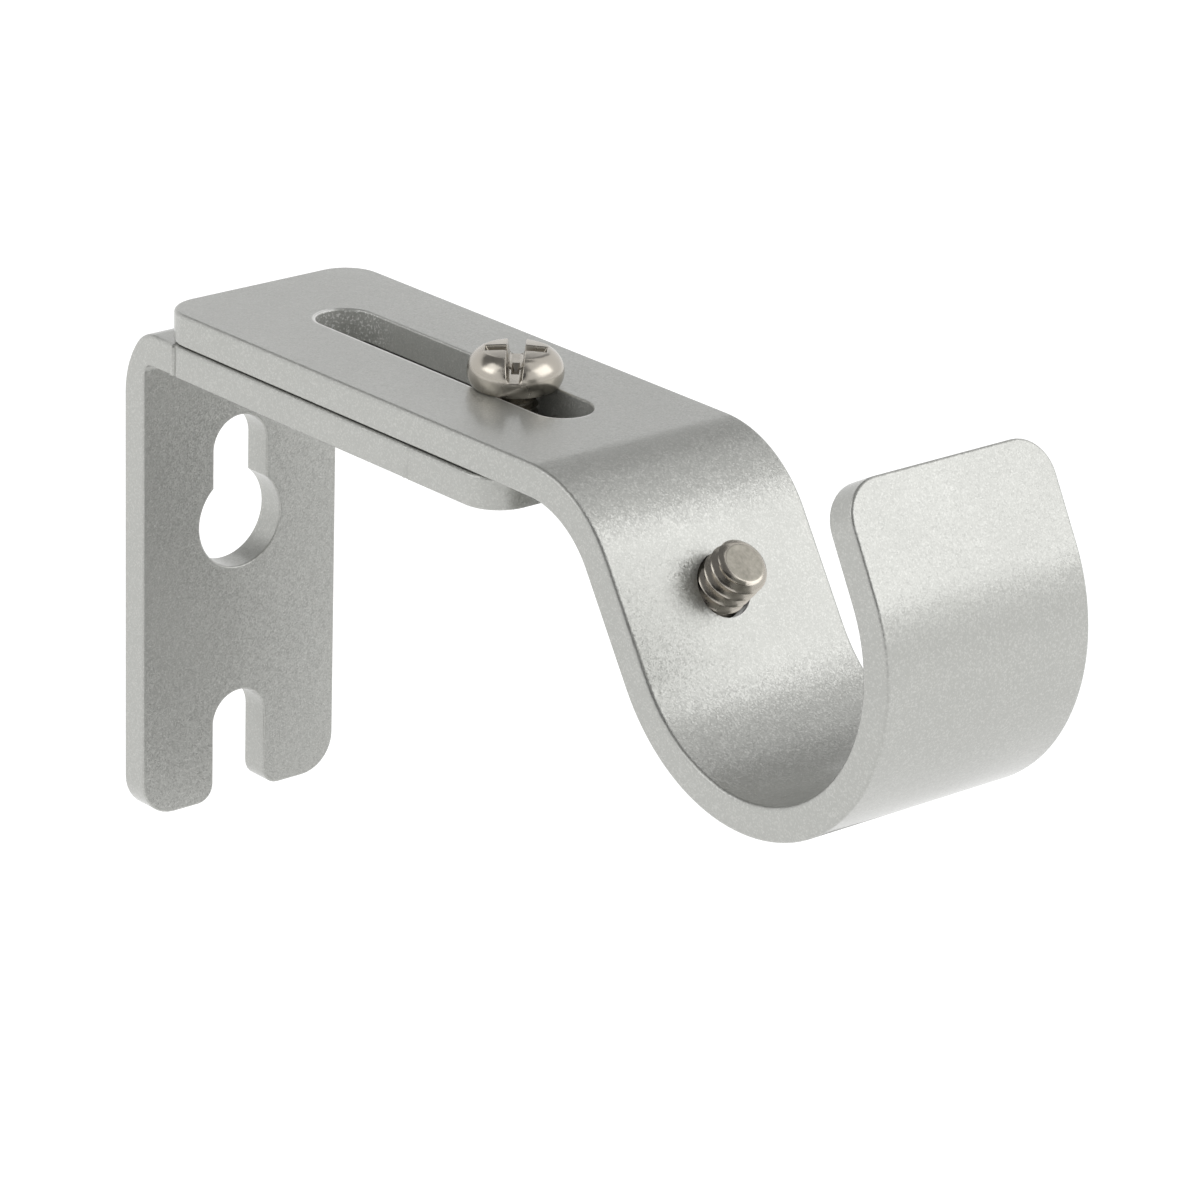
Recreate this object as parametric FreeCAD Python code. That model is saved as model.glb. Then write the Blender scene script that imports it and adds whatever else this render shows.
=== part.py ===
import FreeCAD, Part

import math
import os

# Curtain pole bracket: a slotted wall angle, a hooked arm that slides on it, a clamp screw
# that holds the two together and a set screw that holds the pole in the hook.
#
# Frame, in millimetres: the wall is the plane X = 0 and +X points out of it, +Z is up, and
# Y runs along the pole. The origin is on the plate's wall face, midway across its width.

V = FreeCAD.Vector

# Both bars are punched from one painted strip
bar_width = 21.1
bar_thickness = 2.85
edge_roll_radius = 0.35
slot_edge_radius = 0.22
paint_gap = 0.12

# Wall angle
leg_top = 30.0
plate_height = 45.3
leg_length = 50.0
bend_leg_side_radius = 3.1
bend_plate_side_radius = 8.0
bend_drop = 6.2
bend_inner_radius = 1.0
plate_corner_radius = 3.4
leg_corner_radius = 3.35

# Keyhole and open slot of the wall angle
keyhole_radius = 4.4
keyhole_below_leg = 19.25
neck_width = 5.75
neck_end_below_leg = 12.5
fork_width = 5.6
fork_end_below_leg = 38.2
fork_mouth_radius = 1.6

# Steps that the shearing left on the near edge of the wall angle
plate_step_depth = 0.05
first_step_from_wall = 7.3
leg_step_depth = 0.03
second_step_from_wall = 39.0
end_step_depth = 0.05
step_ramp_length = 0.6

# Arm
arm_end_from_wall = 5.0
arm_corner_radius = 3.4
shoulder_from_wall = 54.3
shoulder_inner_radius = 8.55
shoulder_angle = 58.0
flank_length = 9.9
hook_inner_radius = 13.2
hook_angle = 176.2
tip_length = 8.9

# Long slot of the arm
arm_slot_width = 5.2
arm_slot_from_wall = 14.5
arm_slot_length = 33.6
arm_slot_offset = 0.3

# Clamp screw, a pan head with a slot and a cross recess
clamp_from_leg_end = 11.0
clamp_offset = 0.75
clamp_thread_diameter = 3.9
clamp_length = 8.0
clamp_point_chamfer = 0.5
thread_clearance = 0.05
head_seat_gap = 0.03
head_diameter = 8.05
head_base_diameter = 7.6
head_bulge_height = 1.25
head_shoulder_diameter = 5.6
head_shoulder_height = 3.1
head_height = 3.25
drive_angle = -41.5
drive_slot_width = 1.4
drive_slot_floor = 1.4
cross_width = 1.1
cross_length = 5.3
cross_depth = 2.45
cross_foot = 2.2

# Set screw, a flat point that stands out of the flank
set_down_flank = 4.2
set_tilt_angle = 14.7
set_thread_diameter = 4.8
set_length = 8.0
set_stand_out = 3.45
set_point_diameter = 3.1
set_point_length = 0.6
set_slot_width = 0.8
set_slot_depth = 1.6

# Worked out from the values above
half_width = bar_width / 2
plate_bottom = leg_top - plate_height
leg_bottom = leg_top - bar_thickness
clamp_from_wall = leg_length - clamp_from_leg_end
arm_bottom = leg_top + paint_gap
arm_top = arm_bottom + bar_thickness
arm_middle = arm_bottom + bar_thickness / 2
overcut = 1.0
tolerance = 1e-3


def prism(points, sweep):
    """Extrude a closed polygon."""
    return Part.Face(Part.makePolygon(points + points[:1])).extrude(sweep)


def stadium(start, end, width, sweep):
    """A round-ended slot cutter between two centres, extruded along sweep."""
    along = (end - start).normalize()
    side = along.cross(sweep).normalize() * (width / 2)
    nose = along * (width / 2)
    edges = [
        Part.makeLine(start + side, end + side),
        Part.Arc(end + side, end + nose, end - side).toShape(),
        Part.makeLine(end - side, start - side),
        Part.Arc(start - side, start - nose, start + side).toShape(),
    ]
    return Part.Face(Part.Wire(edges)).extrude(sweep)


def corner_cutter(corner, into_a, into_b, radius, sweep):
    """The waste outside a rounded corner whose two edges run into_a and into_b."""
    touch_a = corner + into_a * radius
    touch_b = corner + into_b * radius
    middle = corner + (into_a + into_b) * (radius * (1 - math.sqrt(0.5)))
    outside = (into_a + into_b) * -overcut
    edges = [
        Part.Arc(touch_b, middle, touch_a).toShape(),
        Part.makeLine(touch_a, touch_a - into_b * overcut),
        Part.makeLine(touch_a - into_b * overcut, corner + outside),
        Part.makeLine(corner + outside, touch_b - into_a * overcut),
        Part.makeLine(touch_b - into_a * overcut, touch_b),
    ]
    face = Part.Face(Part.Wire(edges))
    return face.extrude(sweep * 2).translated(sweep * -1)


def arc_about(centre, start, end):
    """The shorter arc from start to end about a centre."""
    middle = (start - centre + end - centre).normalize() * (start - centre).Length
    return Part.Arc(start, centre + middle, end).toShape()


def turned(point, centre, degrees):
    """A point of the XZ plane turned about a centre, positive from +X towards +Z."""
    angle = math.radians(degrees)
    away = point - centre
    x = away.x * math.cos(angle) - away.z * math.sin(angle)
    z = away.x * math.sin(angle) + away.z * math.cos(angle)
    return V(centre.x + x, 0, centre.z + z)


class Strip:
    """A bar of one thickness bent in the XZ plane, walked from its first end."""

    def __init__(self, start, thickness):
        self.place = start
        self.heading = 0.0
        self.half = thickness / 2
        self.upper = []
        self.lower = []
        self.first = self.side_points()

    def direction(self):
        angle = math.radians(self.heading)
        return V(math.cos(angle), 0, math.sin(angle))

    def normal(self):
        angle = math.radians(self.heading)
        return V(-math.sin(angle), 0, math.cos(angle))

    def side_points(self):
        offset = self.normal() * self.half
        return self.place + offset, self.place - offset

    def run(self, length):
        """Go straight on."""
        above, below = self.side_points()
        self.place = self.place + self.direction() * length
        above_end, below_end = self.side_points()
        self.upper.append(Part.makeLine(above, above_end))
        self.lower.append(Part.makeLine(below, below_end))

    def bend(self, inner_radius, degrees):
        """Turn up for positive degrees and down for negative ones."""
        sign = 1 if degrees > 0 else -1
        centre = self.place + self.normal() * (sign * (inner_radius + self.half))
        for side, point in zip((self.upper, self.lower), self.side_points()):
            half_way = turned(point, centre, degrees / 2)
            side.append(Part.Arc(point, half_way, turned(point, centre, degrees)).toShape())
        self.place = turned(self.place, centre, degrees)
        self.heading += degrees
        return centre

    def solid(self, width):
        """The bar, centred on Y = 0."""
        above, below = self.side_points()
        ends = [Part.makeLine(above, below), Part.makeLine(*self.first)]
        wire = Part.Wire(Part.sortEdges(self.upper + self.lower + ends)[0])
        return Part.Face(wire).extrude(V(0, width, 0)).translated(V(0, -width / 2, 0))


def arm_path():
    """The arm's bent strip, with the places along it that other features need."""
    strip = Strip(V(arm_end_from_wall, 0, arm_middle), bar_thickness)
    strip.run(shoulder_from_wall - arm_end_from_wall)
    strip.bend(shoulder_inner_radius, -shoulder_angle)
    places = {
        "flank_start": strip.side_points()[0],
        "flank_down": strip.direction(),
        "flank_out": strip.normal(),
    }
    strip.run(flank_length)
    places["pole_centre"] = strip.bend(hook_inner_radius, hook_angle)
    strip.run(tip_length)
    places["tip_end"] = strip.place
    places["tip_up"] = strip.direction()
    places["tip_out"] = strip.normal()
    return strip, places


def set_screw_axis():
    """Where the set screw leaves the inner face of the flank, and which way it points."""
    places = arm_path()[1]
    base = places["flank_start"] + places["flank_down"] * set_down_flank
    out = places["flank_out"]
    up = places["flank_down"] * -1
    tilt = math.radians(set_tilt_angle)
    return base, out * math.cos(tilt) + up * math.sin(tilt)


def rolled_edges(solid, upper_wire, end_points):
    """Rim edges of the strip's upper face, leaving out the seams between its bends."""
    chosen = []
    for edge in solid.Edges:
        ends = [edge.valueAt(edge.FirstParameter), edge.valueAt(edge.LastParameter)]
        middle = edge.valueAt((edge.FirstParameter + edge.LastParameter) / 2)
        flat = [V(p.x, 0, p.z) for p in ends + [middle]]
        if any(Part.Vertex(p).distToShape(upper_wire)[0] > tolerance for p in flat):
            continue
        across = abs(ends[1].y - ends[0].y) > bar_width / 2
        at_end = any((flat[0] - p).Length < tolerance for p in end_points)
        if not across or at_end:
            chosen.append(edge)
    return chosen


def wall_bracket():
    """The wall angle: plate, sharp bend and leg, with keyhole, fork slot and tapped hole."""
    inner = bend_inner_radius
    diagonal = math.sqrt(0.5)
    inner_corner_x = bar_thickness + inner
    inner_corner_z = leg_bottom - inner
    outer_edges = bend_outside()
    inner_edges = [
        Part.makeLine(V(leg_length, 0, leg_top), V(leg_length, 0, leg_bottom)),
        Part.makeLine(V(leg_length, 0, leg_bottom), V(inner_corner_x, 0, leg_bottom)),
        Part.Arc(
            V(inner_corner_x, 0, leg_bottom),
            V(inner_corner_x - inner * diagonal, 0, inner_corner_z + inner * diagonal),
            V(bar_thickness, 0, inner_corner_z),
        ).toShape(),
        Part.makeLine(V(bar_thickness, 0, inner_corner_z), V(bar_thickness, 0, plate_bottom)),
        Part.makeLine(V(bar_thickness, 0, plate_bottom), V(0, 0, plate_bottom)),
    ]
    deep = bar_width + 2 * overcut
    profile = Part.Face(Part.Wire(outer_edges + inner_edges))
    angle = profile.extrude(V(0, deep, 0)).translated(V(0, -deep / 2, 0))
    angle = angle.common(wall_bracket_plan())
    for corner_y, into_y in ((-half_width + plate_step_depth, 1), (half_width, -1)):
        angle = angle.cut(corner_cutter(
            V(0, corner_y, plate_bottom), V(0, into_y, 0), V(0, 0, 1),
            plate_corner_radius, V(bar_thickness + overcut, 0, 0),
        ))
    upper = Part.Wire(outer_edges)
    edges = rolled_edges(angle, upper, [V(leg_length, 0, leg_top), V(0, 0, plate_bottom)])
    angle = angle.makeFillet(edge_roll_radius, edges)
    for cutter in (keyhole(), fork_slot(), clamp_hole()):
        angle = angle.cut(cutter)
    return angle


def bend_outside():
    """The wall angle's outer outline, where two arcs of different radius share the bend."""
    between = bend_plate_side_radius - bend_leg_side_radius
    fall = bend_drop - bend_leg_side_radius
    reach = bend_plate_side_radius - math.sqrt(between ** 2 - fall ** 2)
    start = V(0, 0, leg_top - bend_drop)
    end = V(reach, 0, leg_top)
    low_centre = start + V(bend_plate_side_radius, 0, 0)
    high_centre = end - V(0, 0, bend_leg_side_radius)
    apart = (high_centre - low_centre).normalize()
    meeting = low_centre + apart * bend_plate_side_radius
    return [
        Part.makeLine(V(0, 0, plate_bottom), start),
        arc_about(low_centre, start, meeting),
        arc_about(high_centre, meeting, end),
        Part.makeLine(end, V(leg_length, 0, leg_top)),
    ]


def wall_bracket_plan():
    """The wall angle seen from above: stepped near edge and rounded leg end."""
    near = -half_width
    first, second, ramp = first_step_from_wall, second_step_from_wall, step_ramp_length
    plate_near = near + plate_step_depth
    leg_near = near - leg_step_depth
    end_near = leg_near - end_step_depth
    bottom = V(0, 0, plate_bottom - overcut)
    rise = V(0, 0, plate_height + 2 * overcut)
    outline = [
        V(-overcut, plate_near, 0),
        V(first, plate_near, 0),
        V(first + ramp, leg_near, 0),
        V(second, leg_near, 0),
        V(second + ramp, end_near, 0),
        V(leg_length, end_near, 0),
        V(leg_length, half_width, 0),
        V(-overcut, half_width, 0),
    ]
    plan = prism([point + bottom for point in outline], rise)
    for corner_y, into_y in ((end_near, 1), (half_width, -1)):
        plan = plan.cut(corner_cutter(
            V(leg_length, corner_y, leg_top), V(-1, 0, 0), V(0, into_y, 0),
            leg_corner_radius, V(0, 0, plate_height + 2 * overcut),
        ))
    return plan


def keyhole():
    """Round entry and narrower neck above it, right through the plate."""
    through = V(bar_thickness + 2 * overcut, 0, 0)
    entry = V(-overcut, 0, leg_top - keyhole_below_leg)
    neck_end = V(-overcut, 0, leg_top - neck_end_below_leg)
    hole = Part.makeCylinder(keyhole_radius, through.Length, entry, V(1, 0, 0))
    return hole.fuse(stadium(entry, neck_end, neck_width, through))


def fork_slot():
    """Slot that is open at the plate's lower end, with rounded mouth corners."""
    through = V(bar_thickness + 2 * overcut, 0, 0)
    top = V(-overcut, 0, leg_top - fork_end_below_leg)
    mouth = V(-overcut, 0, plate_bottom - fork_width)
    cutter = stadium(top, mouth, fork_width, through)
    for side in (-1, 1):
        corner = V(0, side * fork_width / 2, plate_bottom)
        waste = corner_cutter(corner, V(0, side, 0), V(0, 0, 1), fork_mouth_radius, through)
        cutter = cutter.fuse(waste)
    return cutter


def clamp_hole():
    """Hole for the clamp screw's thread in the leg."""
    radius = clamp_thread_diameter / 2 + thread_clearance
    start = V(clamp_from_wall, clamp_offset, leg_bottom - overcut)
    return Part.makeCylinder(radius, bar_thickness + 2 * overcut, start)


def pole_arm():
    """The hooked arm: flat bar with a long slot, a shoulder, a flank and the hook."""
    strip, places = arm_path()
    arm = strip.solid(bar_width)
    reach = V(0, 0, bar_thickness)
    tip_reach = places["tip_out"] * bar_thickness
    for side in (-1, 1):
        into_bar = V(0, -side, 0)
        wall_corner = V(arm_end_from_wall, side * half_width, arm_middle)
        tip_corner = places["tip_end"] + V(0, side * half_width, 0)
        arm = arm.cut(corner_cutter(
            wall_corner, V(1, 0, 0), into_bar, arm_corner_radius, reach
        ))
        arm = arm.cut(corner_cutter(
            tip_corner, places["tip_up"] * -1, into_bar, arm_corner_radius, tip_reach
        ))
    ends = [strip.first[0], strip.side_points()[0]]
    arm = arm.makeFillet(edge_roll_radius, rolled_edges(arm, Part.Wire(strip.upper), ends))
    arm = arm.cut(arm_slot())
    arm = arm.makeFillet(slot_edge_radius, slot_rim(arm))
    return arm.cut(set_screw_hole())


def arm_slot():
    """The long slot that lets the arm slide under the clamp screw's head."""
    through = V(0, 0, bar_thickness + 2 * overcut)
    radius = arm_slot_width / 2
    start = V(arm_slot_from_wall + radius, arm_slot_offset, arm_bottom - overcut)
    return stadium(start, start + V(arm_slot_length - 2 * radius, 0, 0), arm_slot_width, through)


def slot_rim(arm):
    """The slot's edges on the arm's top face."""
    lid = arm_slot().common(Part.makeBox(
        arm_slot_length + 2 * overcut, bar_width, overcut,
        V(arm_slot_from_wall - overcut, -half_width, arm_top),
    ))
    chosen = []
    for edge in arm.Edges:
        middle = edge.valueAt((edge.FirstParameter + edge.LastParameter) / 2)
        on_top = abs(middle.z - arm_top) < tolerance
        if on_top and Part.Vertex(middle).distToShape(lid)[0] < tolerance:
            chosen.append(edge)
    return chosen


def set_screw_hole():
    """Tilted hole through the flank."""
    base, axis = set_screw_axis()
    radius = set_thread_diameter / 2 + thread_clearance
    reach = 2 * bar_thickness
    return Part.makeCylinder(radius, 2 * reach, base - axis * reach, axis)


def clamp_screw():
    """Pan head with a slot and a cross recess, on a plain shank as wide as its thread."""
    bottom = V(0, 0, -clamp_length)
    shank_radius = clamp_thread_diameter / 2
    tip_radius = shank_radius - clamp_point_chamfer
    outline = [
        Part.makeLine(bottom, bottom + V(tip_radius, 0, 0)),
        Part.makeLine(
            bottom + V(tip_radius, 0, 0), bottom + V(shank_radius, 0, clamp_point_chamfer)
        ),
        Part.makeLine(bottom + V(shank_radius, 0, clamp_point_chamfer), V(shank_radius, 0, 0)),
        Part.makeLine(V(shank_radius, 0, 0), V(head_base_diameter / 2, 0, 0)),
    ]
    bulge = V(head_diameter / 2, 0, head_bulge_height)
    shoulder = V(head_shoulder_diameter / 2, 0, head_shoulder_height)
    crown = V(0, 0, head_height)
    side_centre = bulge - V((bulge - shoulder).Length ** 2 / (2 * (bulge.x - shoulder.x)), 0, 0)
    crown_centre = crown - V(0, 0, (crown - shoulder).Length ** 2 / (2 * (crown.z - shoulder.z)))
    outline += [
        Part.makeLine(V(head_base_diameter / 2, 0, 0), bulge),
        arc_about(side_centre, bulge, shoulder),
        arc_about(crown_centre, shoulder, crown),
        Part.makeLine(crown, bottom),
    ]
    screw = Part.Face(Part.Wire(outline)).revolve(V(0, 0, 0), V(0, 0, 1), 360)
    screw = screw.cut(drive_recess())
    screw.rotate(V(0, 0, 0), V(0, 0, 1), drive_angle)
    seat = V(clamp_from_wall, clamp_offset, arm_top + head_seat_gap)
    return screw.translated(seat)


def drive_recess():
    """Slot across the whole head and two tapered wings that cross under it."""
    above = head_height + overcut
    slot = Part.makeBox(
        head_diameter + 2 * overcut, drive_slot_width, above,
        V(-head_diameter / 2 - overcut, -drive_slot_width / 2, drive_slot_floor),
    )
    floor = head_height - cross_depth
    wide, foot, half = cross_length / 2, cross_foot / 2, cross_width / 2
    wing = prism(
        [
            V(-foot, -half, floor),
            V(foot, -half, floor),
            V(wide, -half, head_height),
            V(wide, -half, above),
            V(-wide, -half, above),
            V(-wide, -half, head_height),
        ],
        V(0, cross_width, 0),
    )
    crossing = wing.copy()
    crossing.rotate(V(0, 0, 0), V(0, 0, 1), 90)
    return slot.fuse([wing, crossing])


def set_screw():
    """Headless screw: slotted outer end, plain body as wide as its thread, flat point."""
    radius = set_thread_diameter / 2
    point = set_point_diameter / 2
    body = Part.makeCylinder(radius, set_length - set_point_length)
    cone = Part.makeCone(
        radius, point, set_point_length, V(0, 0, set_length - set_point_length)
    )
    slot = Part.makeBox(
        set_thread_diameter + 2 * overcut, set_slot_width, set_slot_depth + overcut,
        V(-radius - overcut, -set_slot_width / 2, -overcut),
    )
    screw = body.fuse(cone).removeSplitter().cut(slot)
    base, axis = set_screw_axis()
    turn = FreeCAD.Rotation(V(0, 0, 1), axis)
    start = base - axis * (set_length - set_stand_out)
    screw.Placement = FreeCAD.Placement(start, turn)
    return screw


def export(name, shape):
    """Write one node as a STEP file of one clean solid."""
    shape = shape.removeSplitter()
    if len(shape.Solids) != 1 or not shape.isValid():
        raise ValueError(name + " is not one valid solid")
    shape.Solids[0].exportStep("parts/" + name + ".step")


os.makedirs("parts", exist_ok=True)
export("wall_bracket", wall_bracket())
export("pole_arm", pole_arm())
export("clamp_screw", clamp_screw())
export("set_screw", set_screw())
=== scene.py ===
import math
from types import SimpleNamespace

import bmesh
import bpy
from mathutils import Matrix, Vector


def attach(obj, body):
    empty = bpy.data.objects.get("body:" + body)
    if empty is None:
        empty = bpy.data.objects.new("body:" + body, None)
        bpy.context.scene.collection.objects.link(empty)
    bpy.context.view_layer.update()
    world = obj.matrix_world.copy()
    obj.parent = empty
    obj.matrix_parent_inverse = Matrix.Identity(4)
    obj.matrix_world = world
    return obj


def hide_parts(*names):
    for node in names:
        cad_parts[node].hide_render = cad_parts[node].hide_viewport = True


bl_info = {
    "name": "Curtain Pole Bracket",
    "version": (1, 0, 0),
    "blender": (4, 5, 0),
    "location": "View3D > Sidebar > Bracket",
    "description": "Dresses the packed curtain pole bracket: painted bars, plated screws and the stage",
    "category": "Object",
}

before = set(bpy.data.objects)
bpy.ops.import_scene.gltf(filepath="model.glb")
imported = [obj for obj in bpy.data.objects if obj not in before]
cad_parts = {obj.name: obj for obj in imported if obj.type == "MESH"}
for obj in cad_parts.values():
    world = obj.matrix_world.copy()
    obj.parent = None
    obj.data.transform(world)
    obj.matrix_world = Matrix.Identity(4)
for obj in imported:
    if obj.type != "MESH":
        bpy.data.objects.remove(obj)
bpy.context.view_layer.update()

MM = 0.001
TINY = 1e-3
MIDDLE = Vector((0.05, 0.0, 0.02))
BEND_SLACK = 0.03

# How far the wall angle's near edge stands out from each place on, in millimetres
SHEAR_STROKES = (
    (6.75, -0.05), (6.9, 0.08), (7.1, 0.08), (7.25, -0.08), (7.45, -0.08),
    (7.65, 0.03), (38.45, 0.03), (38.6, 0.1), (38.75, 0.1), (38.9, 0.04), (39.15, 0.04),
    (39.3, 0.11), (39.45, 0.08),
)


# Sizes and colours

def length(name, description, millimetres):
    """A length that is given in millimetres and kept in metres."""
    return bpy.props.FloatProperty(
        name=name, description=description, default=millimetres * MM,
        precision=5, unit='LENGTH',
    )


def angle(name, description, degrees):
    """An angle that is given in degrees and kept in radians."""
    return bpy.props.FloatProperty(
        name=name, description=description, default=math.radians(degrees), unit='ROTATION',
    )


def colour(name, description, value):
    """A colour of three linear parts."""
    return bpy.props.FloatVectorProperty(
        name=name, description=description, default=value, subtype='COLOR',
        min=0.0, max=1.0,
    )


class BarSizes(bpy.types.PropertyGroup):
    """Sizes of the two painted bars."""

    width: length("Width", "Width of both bars along the pole", 21.1)
    thickness: length("Thickness", "Thickness of both bars with their paint", 2.85)
    roll: length("Rolled edge", "Radius of the edges that the shear pulled in", 0.35)
    burr: length("Sharp edge", "Radius of the wall angle's edges on the other face", 0.16)
    underside: length("Under edge", "Radius of the arm's edges on its lower face", 0.26)
    leg_top: length("Leg top", "Height of the leg's top face over the origin", 30.0)
    plate_height: length("Plate height", "Height of the wall plate", 45.3)
    leg_length: length("Leg length", "How far the leg stands out from the wall", 50.0)
    bend_leg: length("Bend, leg side", "Outer radius of the bend next to the leg", 3.1)
    bend_plate: length("Bend, plate side", "Outer radius of the bend next to the plate", 8.0)
    bend_drop: length("Bend drop", "How far below the leg's top the bend starts", 6.2)
    bend_inner: length("Bend, inner radius", "Inner radius where plate and leg meet", 1.0)
    plate_corner: length("Plate corner", "Radius of the plate's lower corners", 3.4)
    leg_corner: length("Leg corner", "Radius of the leg's end corners", 3.35)
    keyhole_radius: length("Keyhole radius", "Radius of the keyhole's round entry", 4.4)
    keyhole_height: length("Keyhole height", "Height of the keyhole's entry", 10.75)
    neck_width: length("Neck width", "Width of the keyhole's neck", 5.75)
    neck_height: length("Neck height", "Height of the centre of the neck's round end", 17.5)
    fork_width: length("Fork width", "Width of the open slot", 5.6)
    fork_height: length("Fork height", "Height of the centre of the open slot's end", -8.2)
    fork_mouth: length("Fork mouth", "Radius of the corners at the slot's mouth", 1.6)
    gap: length("Paint gap", "Gap between the leg and the arm", 0.12)
    arm_start: length("Arm start", "Distance of the arm's end from the wall", 5.0)
    arm_corner: length("Arm corner", "Radius of the arm's four corners", 3.4)
    shoulder_start: length("Shoulder start", "Where the shoulder's bend starts", 54.3)
    shoulder_radius: length("Shoulder radius", "Inner radius of the shoulder", 8.55)
    shoulder_turn: angle("Shoulder turn", "How far the shoulder bends down", 58.0)
    flank: length("Flank length", "Straight length between shoulder and hook", 9.9)
    hook_radius: length("Hook radius", "Inner radius of the hook", 13.2)
    hook_turn: angle("Hook turn", "How far the hook bends up and back", 176.2)
    tip: length("Tip length", "Straight length at the hook's tip", 8.9)
    slot_start: length("Slot start", "Where the long slot starts", 14.5)
    slot_length: length("Slot length", "Length of the long slot", 33.6)
    slot_width: length("Slot width", "Width of the long slot", 5.2)
    slot_side: length("Slot offset", "How far the slot lies from the middle", 0.3)
    slot_rim: length("Slot rim", "Radius of the long slot's upper edge", 0.2)


class ScrewSizes(bpy.types.PropertyGroup):
    """Sizes of the clamp screw and the set screw."""

    clamp_x: length("Clamp screw from wall", "Distance of the clamp screw from the wall", 39.0)
    clamp_y: length("Clamp screw offset", "How far the clamp screw sits off the middle", 0.75)
    clamp_crest: length("Clamp screw radius", "Radius over the clamp screw's thread", 1.95)
    clamp_pitch: length("Clamp screw pitch", "Pitch of the clamp screw's thread", 0.7)
    clamp_length: length("Clamp screw length", "Length of the clamp screw under its head", 8.0)
    head_gap: length("Head gap", "Gap between the head and the arm", 0.03)
    head_radius: length("Head radius", "Largest radius of the pan head", 4.025)
    head_base: length("Head base", "Radius of the pan head's underside", 3.6)
    head_bulge: length("Head bulge", "Height of the head's widest place", 1.25)
    head_shoulder: length("Shoulder radius", "Radius where the head's side meets its crown", 2.8)
    shoulder_height: length("Shoulder height", "Height where the side meets the crown", 3.1)
    head_height: length("Head height", "Height of the head's crown", 3.25)
    drive_turn: angle("Drive angle", "Which way the head's slot points", -41.5)
    drive_width: length("Drive slot width", "Width of the head's slot at its top", 1.55)
    drive_foot: length("Drive slot foot", "Width of the head's slot at its floor", 1.15)
    drive_lip: length("Drive slot lip", "Radius of the slot's polished lips", 0.13)
    drive_rim: length("Drive rim", "Radius of the other edges of the recess", 0.06)
    drive_floor: length("Drive slot floor", "Height of the slot's floor over the seat", 1.4)
    cross_span: length("Cross span", "Length of the cross recess at the crown", 5.3)
    cross_width: length("Cross width", "Width of the cross recess at the crown", 1.45)
    cross_foot: length("Cross foot", "Length of the cross recess at its floor", 2.2)
    cross_floor: length("Cross floor", "Height of the cross recess's floor", 0.8)
    set_down: length("Set screw place", "How far down the flank the set screw is", 4.2)
    set_tilt: angle("Set screw tilt", "How far the set screw leans up from square", 14.7)
    set_crest: length("Set screw radius", "Radius over the set screw's thread", 2.4)
    set_pitch: length("Set screw pitch", "Pitch of the set screw's thread", 1.06)
    set_length: length("Set screw length", "Length of the set screw", 8.0)
    set_out: length("Set screw reach", "How far the point stands out of the flank", 3.45)
    set_point: length("Set screw point", "Radius of the flat point", 1.55)
    set_slot: length("Set screw slot", "Width of the slot in the outer end", 0.8)
    set_slot_depth: length("Set screw slot depth", "Depth of that slot", 1.6)
    clearance: length("Thread clearance", "Gap between a thread and its hole", 0.05)
    flank_clearance: length("Flank clearance", "Gap round the set screw in the flank", 0.2)
    flank_drop: length("Flank hole drop", "How far the hole lies below the set screw", 0.13)


class Finishes(bpy.types.PropertyGroup):
    """Colours of the paint, the plating and the stage."""

    paint: colour("Paint", "Silver paint of the bars", (0.41, 0.413, 0.391))
    flake: colour("Flake", "The brightest flakes in the paint", (0.74, 0.74, 0.71))
    # A bright colour for the long slot's near rim and for specks on its end walls: a painted highlight
    # and painted glints.
    painted_highlight: colour("Painted highlight", "Painted highlight on the long slot's near rim and painted glints at its end", (0.8, 0.8, 0.78))
    nickel: colour("Nickel", "Plating of the screws", (0.45, 0.42, 0.37))
    # Grime and shade: a dark colour that ambient occlusion lays into the screws' hollows and where they
    # sit near the arm. It is painted shade with some soiling.
    grime_and_shade: colour("Grime and shade", "Dirt and painted shade in the screws' recesses", (0.05, 0.045, 0.04))
    ground_end: colour("Ground end", "Dull flat end of the set screw", (0.2, 0.195, 0.165))
    floor: colour("Floor", "The pale floor", (0.9, 0.9, 0.9))


# Modelling helpers, all in millimetres

def plain(group):
    """A group's values as plain numbers, its lengths in millimetres."""
    found = {}
    for name in group.__annotations__:
        unit = group.bl_rna.properties[name].unit
        value = getattr(group, name)
        found[name] = value / MM if unit == 'LENGTH' else value
    return SimpleNamespace(**found)


def everything(bm):
    return bm.verts[:] + bm.edges[:] + bm.faces[:]


def outward(bm):
    """Turn every face of a closed mesh to the outside."""
    bmesh.ops.recalc_face_normals(bm, faces=bm.faces[:])
    if bm.calc_volume(signed=True) < 0:
        bmesh.ops.reverse_faces(bm, faces=bm.faces[:])
    return bm


def polygon(points):
    """A mesh of one face."""
    bm = bmesh.new()
    bm.faces.new([bm.verts.new(point) for point in points])
    return bm


def extruded(bm, sweep):
    """Give the mesh's one face a depth and turn all normals out."""
    grown = bmesh.ops.extrude_face_region(bm, geom=bm.faces[:])["geom"]
    moved = [item for item in grown if isinstance(item, bmesh.types.BMVert)]
    bmesh.ops.translate(bm, verts=moved, vec=sweep)
    return outward(bm)


def rounded(bm, geometry, radius, segments, affect='EDGES'):
    """Round the given edges or corners."""
    return bmesh.ops.bevel(
        bm, geom=geometry, offset=radius, offset_type='OFFSET', segments=segments,
        profile=0.5, affect=affect, material=-1, clamp_overlap=False,
    )


def corners_at(bm, *places):
    """Vertices of the mesh at the given places."""
    return [v for v in bm.verts if any((v.co - Vector(p)).length < TINY for p in places)]


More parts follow.
